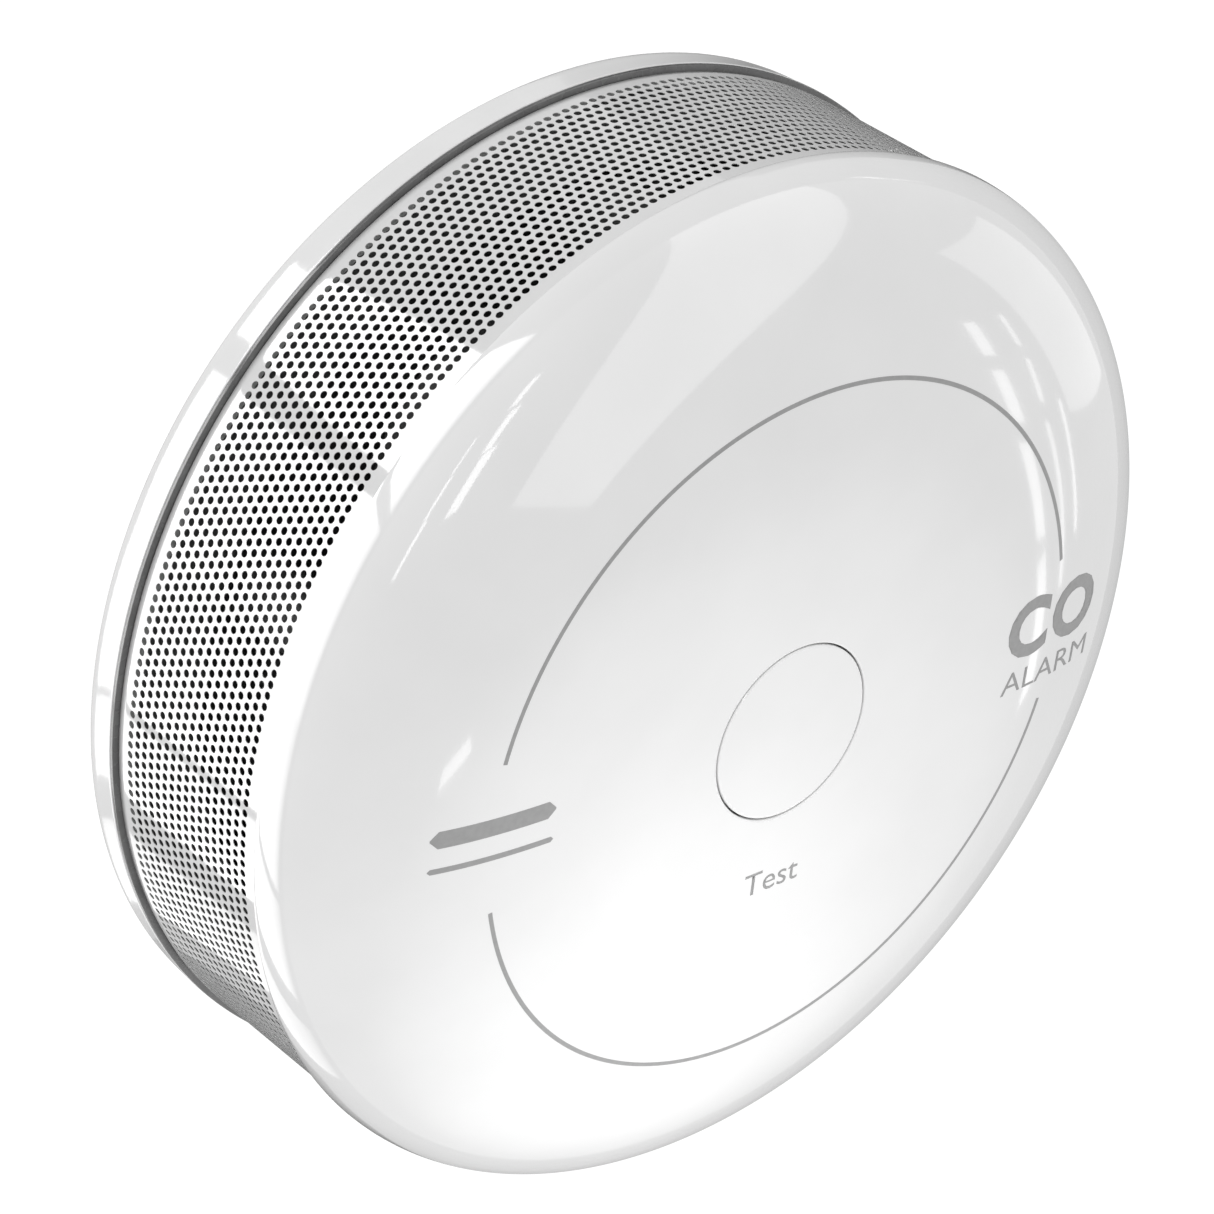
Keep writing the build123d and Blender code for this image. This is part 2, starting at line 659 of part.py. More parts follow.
PIECES = {
    "mounting_base": mounting_base,
    "seal_ring": seal_ring,
    "grille_band": grille_band,
    "front_cover": front_cover,
    "test_button": test_button,
    "button_spring": button_spring,
    "test_switch": test_switch,
    "test_switch_plunger": test_switch_plunger,
    "light_guide": light_guide,
    "rear_housing": rear_housing,
    "circuit_board": circuit_board,
    "board_screws": board_screws,
    "housing_screws": housing_screws,
    "battery_can": battery_can,
    "battery_sleeve": battery_sleeve,
    "battery_washer": battery_washer,
    "battery_terminal": battery_terminal,
    "positive_contact": positive_contact,
    "negative_contact": negative_contact,
    "negative_spring": negative_spring,
    "sensor_can": sensor_can,
    "sensor_cap": sensor_cap,
    "sensor_pins": sensor_pins,
    "sounder_housing": sounder_housing,
    "sounder_lid": sounder_lid,
    "sounder_diaphragm": sounder_diaphragm,
    "sounder_ceramic": sounder_ceramic,
    "sounder_pins": sounder_pins,
    "tamper_plunger": tamper_plunger,
    "tamper_spring": tamper_spring,
    "tamper_switch": tamper_switch,
    "status_lights": status_lights,
    "radio_shield": radio_shield,
    "radio_chip": radio_chip,
    "microcontroller": microcontroller,
    "sensor_amplifier": sensor_amplifier,
    "crystal": crystal,
    "sounder_coil": sounder_coil,
    "reservoir_capacitor": reservoir_capacitor,
    "temperature_sensor": temperature_sensor,
    "antenna": antenna,
    "chip_resistors": chip_resistors,
    "chip_capacitors": chip_capacitors,
}

for piece_name, piece in PIECES.items():
    piece.part.label = piece_name
    export_step(piece.part, f"parts/{piece_name}.step")
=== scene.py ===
import json
import math

import bmesh
import bpy
from mathutils import Matrix, Vector


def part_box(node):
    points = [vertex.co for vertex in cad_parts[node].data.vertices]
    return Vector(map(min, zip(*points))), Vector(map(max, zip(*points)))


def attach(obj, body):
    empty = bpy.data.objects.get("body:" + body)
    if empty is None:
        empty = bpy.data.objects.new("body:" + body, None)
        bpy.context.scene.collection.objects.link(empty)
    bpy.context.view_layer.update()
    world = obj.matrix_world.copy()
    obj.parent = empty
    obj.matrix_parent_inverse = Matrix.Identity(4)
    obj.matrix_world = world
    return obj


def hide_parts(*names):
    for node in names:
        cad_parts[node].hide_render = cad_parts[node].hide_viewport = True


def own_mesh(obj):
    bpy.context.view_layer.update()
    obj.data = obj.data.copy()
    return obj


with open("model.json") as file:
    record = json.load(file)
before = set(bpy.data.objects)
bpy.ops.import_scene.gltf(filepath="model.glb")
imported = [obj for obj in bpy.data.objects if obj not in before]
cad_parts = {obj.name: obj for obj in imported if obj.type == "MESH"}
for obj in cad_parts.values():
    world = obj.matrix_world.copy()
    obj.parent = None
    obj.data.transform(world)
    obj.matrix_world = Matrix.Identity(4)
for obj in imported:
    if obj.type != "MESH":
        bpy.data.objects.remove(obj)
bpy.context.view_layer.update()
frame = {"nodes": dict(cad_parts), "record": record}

# The alarm lies on its back on the floor: origin at the centre of the wall base's back
# face, +Z out of the front, +Y up on the printed front. Blender units are metres, and
# the profiles below are written in millimetres and scaled by MM.
MM = 0.001


# ---------------------------------------------------------------- sizes from the frame
def box_mm(node):
    low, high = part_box(node)
    return [v / MM for v in low], [v / MM for v in high]


def outer_radius(node):
    low, high = box_mm(node)
    return (high[0] - low[0]) / 2


cover_high = box_mm("front_cover")[1]
base_high = box_mm("mounting_base")[1]
band_low, band_high = box_mm("grille_band")
button_low, button_high = box_mm("test_button")
COVER_R = outer_radius("front_cover")
BAND_R = outer_radius("grille_band")
RIM_R = outer_radius("mounting_base")
SEAL_R = outer_radius("seal_ring")
TOP = cover_high[2]
BAND_Z0 = band_low[2]
BAND_Z1 = band_high[2]
RIM_Z = base_high[2]


# ---------------------------------------------------------------- shader helpers
def linear(value):
    """sRGB 0-1 to scene-linear."""
    return value / 12.92 if value <= 0.04045 else ((value + 0.055) / 1.055) ** 2.4


def grey(value):
    return (linear(value), linear(value), linear(value), 1)


def colour(red, green, blue):
    return (linear(red), linear(green), linear(blue), 1)


def shader(name):
    material = bpy.data.materials.new(name)
    material.use_nodes = True
    tree = material.node_tree
    tree.nodes.clear()
    out = tree.nodes.new("ShaderNodeOutputMaterial")
    bsdf = tree.nodes.new("ShaderNodeBsdfPrincipled")
    tree.links.new(bsdf.outputs["BSDF"], out.inputs["Surface"])
    return material, tree, bsdf


def noise(tree, scale, detail=3.0, roughness=0.5):
    """Object-space noise: scale is in features per metre."""
    coord = tree.nodes.new("ShaderNodeTexCoord")
    tex = tree.nodes.new("ShaderNodeTexNoise")
    tex.inputs["Scale"].default_value = scale
    tex.inputs["Detail"].default_value = detail
    tex.inputs["Roughness"].default_value = roughness
    tree.links.new(coord.outputs["Object"], tex.inputs["Vector"])
    return tex


def ramp(tree, source, low, high, at=(0.3, 0.7)):
    node = tree.nodes.new("ShaderNodeValToRGB")
    node.color_ramp.elements[0].position = at[0]
    node.color_ramp.elements[1].position = at[1]
    node.color_ramp.elements[0].color = low
    node.color_ramp.elements[1].color = high
    tree.links.new(source, node.inputs["Fac"])
    return node


def spread(tree, source, low, high):
    node = tree.nodes.new("ShaderNodeMapRange")
    node.inputs["To Min"].default_value = low
    node.inputs["To Max"].default_value = high
    tree.links.new(source, node.inputs["Value"])
    return node.outputs["Result"]


def bump(tree, bsdf, source, strength, distance):
    node = tree.nodes.new("ShaderNodeBump")
    node.inputs["Strength"].default_value = strength
    node.inputs["Distance"].default_value = distance
    tree.links.new(source, node.inputs["Height"])
    tree.links.new(node.outputs["Normal"], bsdf.inputs["Normal"])


def surface(
    name, dark, light, rough, metallic=0.0, scale=900.0, bump_mm=0.0, bump_scale=None, **sockets
):
    """A finish with mottled colour, uneven gloss and a fine surface grain."""
    material, tree, bsdf = shader(name)
    mottle = noise(tree, scale)
    tint = ramp(tree, mottle.outputs["Fac"], dark, light)
    tree.links.new(tint.outputs["Color"], bsdf.inputs["Base Color"])
    uneven = noise(tree, scale * 2.3, 5.0)
    tree.links.new(spread(tree, uneven.outputs["Fac"], rough[0], rough[1]), bsdf.inputs["Roughness"])
    bsdf.inputs["Metallic"].default_value = metallic
    for socket, value in sockets.items():
        bsdf.inputs[socket.replace("_", " ")].default_value = value
    if bump_mm:
        grain = noise(tree, bump_scale or scale * 4, 2.0)
        bump(tree, bsdf, grain.outputs["Fac"], 0.5, bump_mm * MM)
    return material


GLOSS_WHITE = surface(
    "gloss_white", grey(0.93), grey(0.945), (0.06, 0.10), scale=140.0,
    bump_mm=0.002, bump_scale=420.0, IOR=1.5, Coat_Weight=0.6, Coat_Roughness=0.03,
)
BASE_WHITE = surface(
    "base_white", grey(0.92), grey(0.94), (0.10, 0.17), scale=160.0,
    bump_mm=0.002, bump_scale=600.0, IOR=1.5, Coat_Weight=0.35, Coat_Roughness=0.05,
)
BAND_WHITE = surface(
    "band_white", grey(0.88), grey(0.90), (0.05, 0.09), scale=200.0,
    bump_mm=0.001, bump_scale=500.0, IOR=1.5, Coat_Weight=0.7, Coat_Roughness=0.03,
)
# Grey of the inner parts, lowered so that the inside seen through the vent holes looks dark: partly painted
# shade of the inside of the head.
INNER_GREY_AND_SHADE = surface(
    "inner_plastic", grey(0.30), grey(0.36), (0.38, 0.52), scale=300.0,
    bump_mm=0.01, bump_scale=3500.0, IOR=1.5,
)
# Dark grey gasket between base and band; its darkness is partly painted shade, standing for the shadow in the
# groove there.
SEAL_GREY_AND_GROOVE_SHADE = surface(
    "seal_grey_and_groove_shade", grey(0.35), grey(0.42), (0.20, 0.34), scale=500.0,
    bump_mm=0.004, bump_scale=4000.0, IOR=1.5, Coat_Weight=0.35, Coat_Roughness=0.12,
)
PRINT_INK = surface(
    "print_ink", grey(0.60), grey(0.63), (0.30, 0.42), scale=2500.0,
    bump_mm=0.001, bump_scale=9000.0, IOR=1.45,
)
BLACK_PLASTIC = surface(
    "black_plastic", grey(0.16), grey(0.20), (0.35, 0.5), scale=700.0,
    bump_mm=0.006, bump_scale=5000.0, IOR=1.5,
)
CHIP_EPOXY = surface(
    "chip_epoxy", grey(0.15), grey(0.20), (0.48, 0.62), scale=1800.0,
    bump_mm=0.005, bump_scale=9000.0, IOR=1.5,
)
STEEL = surface(
    "nickel_steel", grey(0.72), grey(0.80), (0.18, 0.30), metallic=1.0, scale=800.0,
    bump_mm=0.002, bump_scale=3000.0,
)
SPRING_STEEL = surface(
    "spring_steel", grey(0.66), grey(0.76), (0.16, 0.28), metallic=1.0, scale=2500.0,
    bump_mm=0.001, bump_scale=9000.0,
)
SCREW_STEEL = surface(
    "screw_steel", grey(0.55), grey(0.66), (0.22, 0.36), metallic=1.0, scale=1800.0,
    bump_mm=0.002, bump_scale=6000.0,
)
BRASS = surface(
    "brass_disc", colour(0.76, 0.62, 0.34), colour(0.85, 0.72, 0.44), (0.22, 0.36),
    metallic=1.0, scale=1200.0, bump_mm=0.001, bump_scale=5000.0,
)
COPPER = surface(
    "copper_wire", colour(0.78, 0.50, 0.36), colour(0.88, 0.62, 0.46), (0.20, 0.32),
    metallic=1.0, scale=2000.0, bump_mm=0.001, bump_scale=8000.0,
)
CERAMIC = surface(
    "piezo_ceramic", colour(0.84, 0.80, 0.70), colour(0.91, 0.88, 0.80), (0.45, 0.6),
    scale=1500.0, bump_mm=0.003, bump_scale=8000.0,
)
CELL_WRAP = surface(
    "cell_wrap", colour(0.20, 0.30, 0.46), colour(0.24, 0.35, 0.52), (0.16, 0.26),
    scale=220.0, bump_mm=0.004, bump_scale=700.0, Coat_Weight=0.5, Coat_Roughness=0.08,
)
CAPACITOR_TAN = surface(
    "capacitor_tan", colour(0.62, 0.50, 0.38), colour(0.70, 0.58, 0.45), (0.4, 0.55),
    scale=3000.0, bump_mm=0.003, bump_scale=9000.0,
)
LAMP = surface(
    "lamp_lens", colour(0.93, 0.92, 0.78), colour(0.97, 0.96, 0.86), (0.12, 0.2),
    scale=2500.0, bump_mm=0.001, bump_scale=8000.0, Coat_Weight=0.5,
)
CLEAR = surface(
    "clear_guide", grey(0.92), grey(0.96), (0.06, 0.14), scale=600.0,
    bump_mm=0.002, bump_scale=2500.0, Transmission_Weight=0.85, IOR=1.49,
)


def board_material():
    """Green solder mask over faint copper tracks."""
    material, tree, bsdf = shader("solder_mask")
    coord = tree.nodes.new("ShaderNodeTexCoord")
    tracks = tree.nodes.new("ShaderNodeTexBrick")
    tracks.inputs["Scale"].default_value = 320.0
    tracks.inputs["Mortar Size"].default_value = 0.035
    tracks.inputs["Color1"].default_value = colour(0.05, 0.33, 0.17)
    tracks.inputs["Color2"].default_value = colour(0.05, 0.30, 0.16)
    tracks.inputs["Mortar"].default_value = colour(0.10, 0.42, 0.23)
    tree.links.new(coord.outputs["Object"], tracks.inputs["Vector"])
    tree.links.new(tracks.outputs["Color"], bsdf.inputs["Base Color"])
    cloud = noise(tree, 1500.0)
    tree.links.new(spread(tree, cloud.outputs["Fac"], 0.22, 0.36), bsdf.inputs["Roughness"])
    bump(tree, bsdf, tracks.outputs["Fac"], 0.4, 0.01 * MM)
    bsdf.inputs["Coat Weight"].default_value = 0.3
    return material


BOARD_GREEN = board_material()


# ---------------------------------------------------------------- mesh helpers
def add_mesh(name, verts, faces, material, smooth_angle=35.0):
    mesh = bpy.data.meshes.new(name)
    mesh.from_pydata([Vector(v) * MM for v in verts], [], faces)
    mesh.validate()
    mesh.materials.append(material)
    mesh.polygons.foreach_set("use_smooth", [True] * len(mesh.polygons))
    mesh.set_sharp_from_angle(angle=math.radians(smooth_angle))
    piece = bpy.data.objects.new(name, mesh)
    bpy.context.scene.collection.objects.link(piece)
    return piece


def outward(piece):
    """Points every face outward."""
    work = bmesh.new()
    work.from_mesh(piece.data)
    bmesh.ops.recalc_face_normals(work, faces=work.faces)
    work.to_mesh(piece.data)
    work.free()
    return piece


def soften(points, steps=4):
    """Rounds each corner given as (r, z, size) and passes the others through."""
    out = []
    count = len(points)
    for i, point in enumerate(points):
        size = point[2] if len(point) > 2 else 0
        here = Vector(point[:2])
        if not size:
            out.append(tuple(here))
            continue
        before = Vector(points[i - 1][:2]) - here
        after = Vector(points[(i + 1) % count][:2]) - here
        start = here + before.normalized() * min(size, before.length * 0.4)
        end = here + after.normalized() * min(size, after.length * 0.4)
        out.append(tuple(here + before.normalized() * min(size * 1.5, before.length * 0.47)))
        for k in range(steps + 1):
            t = k / steps
            out.append(tuple(start * (1 - t) ** 2 + here * 2 * t * (1 - t) + end * t * t))
        out.append(tuple(here + after.normalized() * min(size * 1.5, after.length * 0.47)))
    return out


def bezier(p0, p1, p2, p3, steps):
    """Points of a cubic curve, both ends included."""
    out = []
    for k in range(steps + 1):
        t = k / steps
        s = 1 - t
        weights = (s ** 3, 3 * s * s * t, 3 * s * t * t, t ** 3)
        out.append(tuple(sum(w * p[i] for w, p in zip(weights, (p0, p1, p2, p3))) for i in (0, 1)))
    return out


def lathe(name, profile, material, segments=320, arc=None, centre=(0, 0), smooth_angle=35.0):
    """Turns a closed (r, z) outline about the Z axis. Points on the axis become poles.
    With arc=(start, end) in degrees it makes a closed sector instead."""
    full = arc is None
    start, end = arc or (0, 360)
    columns = segments if full else segments + 1
    verts, rows = [], []
    for r, z in profile:
        if abs(r) < 1e-6 and full:
            rows.append([len(verts)] * columns)
            verts.append((centre[0], centre[1], z))
            continue
        row = []
        for k in range(columns):
            turn = math.radians(start + (end - start) * k / segments)
            row.append(len(verts))
            verts.append((centre[0] + r * math.cos(turn), centre[1] + r * math.sin(turn), z))
        rows.append(row)
    faces = []
    for i, low in enumerate(rows):
        high = rows[(i + 1) % len(rows)]
        for k in range(columns if full else segments):
            n = (k + 1) % columns
            loop = []
            for v in (low[k], low[n], high[n], high[k]):
                if v not in loop:
                    loop.append(v)
            if len(loop) > 2:
                faces.append(loop)
    if not full:
        faces.append([row[0] for row in rows])
        faces.append([row[-1] for row in reversed(rows)])
    return outward(add_mesh(name, verts, faces, material, smooth_angle))


def block(name, centre, size, material, turn=0.0, edge=0.1):
    """A box with rounded edges, standing on z = centre[2], turned about Z."""
    work = bmesh.new()
    bmesh.ops.create_cube(work, size=1.0)
    bmesh.ops.scale(work, vec=Vector(size) * MM, verts=work.verts)
    bmesh.ops.bevel(
        work, geom=work.edges[:], offset=edge * MM, segments=3, profile=0.5, affect="EDGES"
    )
    place = Matrix.Translation(Vector((centre[0], centre[1], centre[2] + size[2] / 2)) * MM)
    bmesh.ops.transform(work, matrix=place @ Matrix.Rotation(math.radians(turn), 4, "Z"), verts=work.verts)
    mesh = bpy.data.meshes.new(name)
    work.to_mesh(mesh)
    work.free()
    mesh.materials.append(material)
    mesh.polygons.foreach_set("use_smooth", [True] * len(mesh.polygons))
    mesh.set_sharp_from_angle(angle=math.radians(35))
    piece = bpy.data.objects.new(name, mesh)
    bpy.context.scene.collection.objects.link(piece)
    return piece


def join(name, pieces):
    """One object from several."""
    target = pieces[0]
    with bpy.context.temp_override(
        active_object=target, object=target, selected_objects=pieces, selected_editable_objects=pieces
    ):
        bpy.ops.object.join()
    target.name = name
    target.data.name = name
    return target


def stand_in(piece, body, slot, *nodes):
    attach(piece, body)
    if nodes:
        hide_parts(*nodes)
    return piece


# ---------------------------------------------------------------- front cover
CROWN_R = 15.4
COVER_SIDE_Z = cover_high[2] - 7.06
LIP_Z = TOP - 7.39
CROWN_CURVE = bezier((COVER_R, COVER_SIDE_Z), (COVER_R, 24.35), (28.5, TOP), (CROWN_R, TOP), 64)
UNDER_CURVE = bezier((CROWN_R, TOP - 1.6), (27.3, TOP - 1.6), (30.6, 23.8), (30.6, COVER_SIDE_Z), 32)


def crown_height(r):
    """Height of the cover's front surface at radius r."""
    if r <= CROWN_R:
        return TOP
    for (r0, z0), (r1, z1) in zip(CROWN_CURVE, CROWN_CURVE[1:]):
        if r1 <= r <= r0:
            return z0 + (z1 - z0) * (r - r0) / (r1 - r0)
    return COVER_SIDE_Z


HOLE_R = 5.65
cover_outline = (
    [(COVER_R - 0.14, LIP_Z), (COVER_R - 0.06, LIP_Z + 0.05), (COVER_R - 0.02, LIP_Z + 0.16)]
    + CROWN_CURVE
    + soften([(CROWN_R, TOP), (HOLE_R, TOP, 0.10), (HOLE_R, TOP - 1.6, 0.1), (CROWN_R, TOP - 1.6)], 4)[1:-1]
    + UNDER_CURVE
    + [(30.5, 20.4), (30.5, 19.85), (30.6, 19.75), (31.35, 19.75), (31.45, 19.85), (31.45, LIP_Z)]
)
cover_parts = [lathe("cover_shell", cover_outline, GLOSS_WHITE, 360, smooth_angle=28)]
SCREW_ANGLES = (90, 240, 300)
POST_R = 23.6
for angle in SCREW_ANGLES:
    spot = (POST_R * math.cos(math.radians(angle)), POST_R * math.sin(math.radians(angle)))
    boss = soften([(1.13, 12.3), (2.3, 12.3, 0.15), (2.3, 26.4), (0.0, 26.4), (0.0, 21.3), (1.13, 21.3)], 2)
    cover_parts.append(lathe("boss", boss, GLOSS_WHITE, 48, centre=spot))
for angle in range(0, 360, 60):
    turn = math.radians(angle)
    spot = (15.5 * math.cos(turn), 15.5 * math.sin(turn), 25.4)
    cover_parts.append(block("rib", spot, (11, 1.0, 1.3), GLOSS_WHITE, angle, 0.12))
stand_in(join("cover_moulding", cover_parts), "head", "white_plastic", "front_cover")

# ---------------------------------------------------------------- test button
BUTTON_R = 5.55
FLANGE_Z = button_high[2] - 2.65
button_outline = soften(
    [
        (0, TOP),
        (BUTTON_R, TOP, 0.10),
        (BUTTON_R, FLANGE_Z + 0.6, 0.05),
        (6.5, FLANGE_Z + 0.6, 0.08),
        (6.5, FLANGE_Z, 0.08),
        (4.3, FLANGE_Z, 0.08),
        (4.3, FLANGE_Z + 1.2, 0.1),
        (1.5, FLANGE_Z + 1.2, 0.1),
        (1.5, button_low[2], 0.12),
        (0, button_low[2]),
    ],
    3,
)
button = lathe("button_cap", button_outline, GLOSS_WHITE, 160, smooth_angle=28)
stand_in(button, "button", "white_plastic", "test_button")

# ---------------------------------------------------------------- perforated band
ROWS = 17
HOLES = 309
ROW_STEP = 0.020334 * BAND_R
FIRST_ROW = 1.245
HOLE_R_MM = 0.232
HOLE_SIDES = 12
HOLE_PHASE = 0.311
VENT_WALL = 0.04


def band_half(name, first, count):
    """A closed part of the band, count holes long, every hole cut through its thin wall."""
    pitch = math.tau / HOLES
    layers = (BAND_R, BAND_R - VENT_WALL)
    first_z = BAND_Z0 + FIRST_ROW
    below, above = ROW_STEP * 0.64, ROW_STEP * 0.36
    verts, index, faces = [], {}, []

    def point(radius, angle, z, key):
        if key not in index:
            index[key] = len(verts)
            turn = angle + math.radians(HOLE_PHASE)
            verts.append((radius * math.cos(turn), radius * math.sin(turn), z))
        return index[key]

    def corner(layer, column, edge):
        """A honeycomb corner under row edge, at a half-pitch column."""
        if edge < ROWS:
            z = first_z + edge * ROW_STEP - (below if (column - edge) % 2 == 0 else above)
        else:
            z = first_z + (ROWS - 1) * ROW_STEP + (below if (column - ROWS + 1) % 2 == 0 else above)
        return point(layers[layer], column * pitch / 2, z, ("corner", layer, column, edge))

    for row in range(ROWS):
        z = first_z + row * ROW_STEP
        for cell in range(first, first + count):
            middle = 2 * cell + row % 2
            rims = []
            for layer, radius in enumerate(layers):
                rim = []
                for side in range(HOLE_SIDES):
                    bearing = math.tau * side / HOLE_SIDES
                    angle = middle * pitch / 2 + HOLE_R_MM * math.cos(bearing) / BAND_R
                    key = ("hole", layer, row, cell, side)
                    rim.append(point(radius, angle, z + HOLE_R_MM * math.sin(bearing), key))
                rims.append(rim)
                shell = [
                    corner(layer, middle + 1, row),
                    corner(layer, middle + 1, row + 1),
                    corner(layer, middle, row + 1),
                    corner(layer, middle - 1, row + 1),
                    corner(layer, middle - 1, row),
                    corner(layer, middle, row),
                ]
                for k in range(6):
                    n = (k + 1) % 6
                    a = (2 * k + 11) % HOLE_SIDES
                    mid, b = (a + 1) % HOLE_SIDES, (a + 2) % HOLE_SIDES
                    triangles = (
                        [shell[k], rim[mid], rim[a]],
                        [shell[k], shell[n], rim[mid]],
                        [shell[n], rim[b], rim[mid]],
                    )
                    for face in triangles:
                        faces.append(face if layer == 0 else face[::-1])
            for side in range(HOLE_SIDES):
                n = (side + 1) % HOLE_SIDES
                faces.append([rims[0][side], rims[0][n], rims[1][n], rims[1][side]])

    start, stop = 2 * first - 1, 2 * (first + count) - 1
    edge_r = BAND_R - 0.6
    rims_below = [
        (BAND_R, BAND_Z0 + 0.62), (BAND_R - 0.005, BAND_Z0 + 0.5), (BAND_R - 0.09, BAND_Z0 + 0.05),
        (BAND_R - 0.14, BAND_Z0), (30.25, BAND_Z0), (30.2, BAND_Z0 + 0.05), (30.2, 8.03),
        (30.25, 8.08), (edge_r, 8.08), (edge_r, 8.35), (BAND_R - VENT_WALL, 8.45),
    ]
    rims_above = [
        (BAND_R, BAND_Z1 - 0.06), (BAND_R - 0.06, BAND_Z1), (edge_r + 0.05, BAND_Z1),
        (edge_r, BAND_Z1 - 0.05), (edge_r, 19.8), (BAND_R - VENT_WALL, 19.65),
    ]
    for edge, rims in ((0, rims_below), (ROWS, rims_above)):
        for column in range(start, stop + 1):
            for i, (radius, z) in enumerate(rims):
                point(radius, column * pitch / 2, z, ("rim", edge, i, column))

        def chain(column):
            middle = [index["rim", edge, i, column] for i in range(len(rims))]
            return [corner(0, column, edge)] + middle + [corner(1, column, edge)]

        for column in range(start, stop):
            left, right = chain(column), chain(column + 1)
            for i in range(len(left) - 1):
                faces.append([left[i], left[i + 1], right[i + 1], right[i]])
        faces.append(chain(start))
        faces.append(chain(stop)[::-1])

    for end in (start, stop):
        path = [(end, 0)]
        for row in range(ROWS):
            column = end + row % 2
            if path[-1] != (column, row):
                path.append((column, row))
            path.append((column, row + 1))
        for (c0, e0), (c1, e1) in zip(path, path[1:]):
            faces.append([corner(0, c0, e0), corner(0, c1, e1), corner(1, c1, e1), corner(1, c0, e0)])
    piece = outward(add_mesh(name, verts, faces, BAND_WHITE, 40.0))
    return piece


half_count = HOLES // 2
band_first = band_half("vent_band_upper", 0, half_count)
band_second = band_half("vent_band_lower", half_count, HOLES - half_count)
stand_in(band_first, "head", "white_plastic", "grille_band")
stand_in(band_second, "head", "white_plastic", "grille_band")

# ---------------------------------------------------------------- seal ring
SEAL_Z0, SEAL_Z1 = RIM_Z - 0.02, RIM_Z + 0.21
GASKET_R = SEAL_R + 0.04
seal_outline = soften(
    [
        (GASKET_R, SEAL_Z0, 0.04),
        (GASKET_R, SEAL_Z1, 0.05),
        (30.31, SEAL_Z1, 0.05),
        (30.31, SEAL_Z0, 0.05),
        (31.07, SEAL_Z0),
        (31.07, SEAL_Z0 - 0.62, 0.08),
        (31.43, SEAL_Z0 - 0.62, 0.08),
        (31.43, SEAL_Z0),
    ],
    3,
)
# The gasket's dark grey is partly painted shade of the groove between base and band.
seal_parts = [lathe("seal_body", seal_outline, SEAL_GREY_AND_GROOVE_SHADE, 320)]
for angle in (70, 190, 310):
    ear = soften([(29.2, SEAL_Z0, 0.05), (30.4, SEAL_Z0), (30.4, SEAL_Z1), (29.2, SEAL_Z1, 0.05)], 2)
    peg = soften(
        [(29.25, SEAL_Z1 - 0.05), (29.95, SEAL_Z1 - 0.05), (29.95, 8.4, 0.12), (29.25, 8.4, 0.12)], 2
    )
    seal_parts.append(lathe("ear", ear, SEAL_GREY_AND_GROOVE_SHADE, 8, arc=(angle - 4, angle + 4)))
    seal_parts.append(lathe("peg", peg, SEAL_GREY_AND_GROOVE_SHADE, 8, arc=(angle - 3, angle + 3)))
stand_in(join("seal_gasket", seal_parts), "seal_ring", "seal", "seal_ring")

# ---------------------------------------------------------------- wall base
RIM_TOP = RIM_Z - 0.04
base_outline = (
    [(0, 1.8), (0, 0)]
    + soften([(26.0, 0), (26.6, 0, 0.25), (31.5, 4.42)], 4)[1:-1]
    + bezier((31.5, 4.42), (32.37, 5.2), (32.37, 5.2), (32.37, 6.12), 12)
    + soften([(32.37, 6.12), (RIM_R, RIM_TOP, 0.12), (31.55, RIM_TOP)], 4)[1:-1]
    + [(31.55, RIM_TOP), (31.55, RIM_Z - 0.74), (30.95, RIM_Z - 0.74), (30.95, RIM_TOP)]
    + soften(
        [(30.95, RIM_TOP), (30.2, RIM_TOP, 0.12), (30.2, 5.14, 0.4), (26.5, 1.8, 0.4), (13.0, 1.8)], 4
    )[1:-1]
    + [(13.0, 1.8), (13.0, 2.1), (12.0, 2.1), (12.0, 1.8)]
)
base_shell = lathe("base_shell", base_outline, BASE_WHITE, 320, smooth_angle=30)


def slot_cutter(y, length, radius, low, high):
    """An upright prism with a stadium outline running along Y."""
    ring = []
    for k in range(48):
        turn = math.tau * (k + 0.5) / 48
        shift = (length / 2 - radius) * (1 if math.sin(turn) > 0 else -1)
        ring.append((radius * math.cos(turn), y + shift + radius * math.sin(turn)))
    verts = [(x, v, z) for z in (low, high) for x, v in ring]
    count = len(ring)
    faces = [list(range(count))[::-1], list(range(count, 2 * count))]
    faces += [[k, (k + 1) % count, count + (k + 1) % count, count + k] for k in range(count)]
    return add_mesh("cutter", verts, faces, BASE_WHITE)


def carve(piece, cutters):
    for cutter in cutters:
        cut = piece.modifiers.new("cut", "BOOLEAN")
        cut.operation = "DIFFERENCE"
        cut.solver = "EXACT"
        cut.object = cutter
    graph = bpy.context.evaluated_depsgraph_get()
    mesh = bpy.data.meshes.new_from_object(piece.evaluated_get(graph))
    piece.modifiers.clear()
    piece.data = mesh
    mesh.polygons.foreach_set("use_smooth", [True] * len(mesh.polygons))
    mesh.set_sharp_from_angle(angle=math.radians(30))
    for cutter in cutters:
        bpy.data.objects.remove(cutter)
    return piece


cutters = []
for y in (-20.0, 20.0):
    cutters.append(slot_cutter(y, 7.0, 2.1, -1.0, 3.0))
    cutters.append(slot_cutter(y, 10.6, 3.9, 1.0, 3.0))
carve(base_shell, cutters)
base_parts = [base_shell]
for angle in (10, 130, 250):
    ledge = soften([(28.9, 6.3, 0.12), (30.3, 6.3), (30.3, 7.2), (28.9, 7.2, 0.3)], 3)
    stop_low = soften([(28.9, 5.1, 0.12), (30.3, 5.1), (30.3, 6.4), (28.9, 6.4)], 3)
    stop_high = soften([(28.9, 4.6, 0.12), (30.3, 4.6), (30.3, 7.2), (28.9, 7.2, 0.3)], 3)
    base_parts.append(lathe("ledge", ledge, BASE_WHITE, 16, arc=(angle - 9, angle + 9)))
    base_parts.append(lathe("stop", stop_low, BASE_WHITE, 4, arc=(angle - 9, angle - 7)))
    base_parts.append(lathe("stop", stop_high, BASE_WHITE, 4, arc=(angle + 25, angle + 27)))
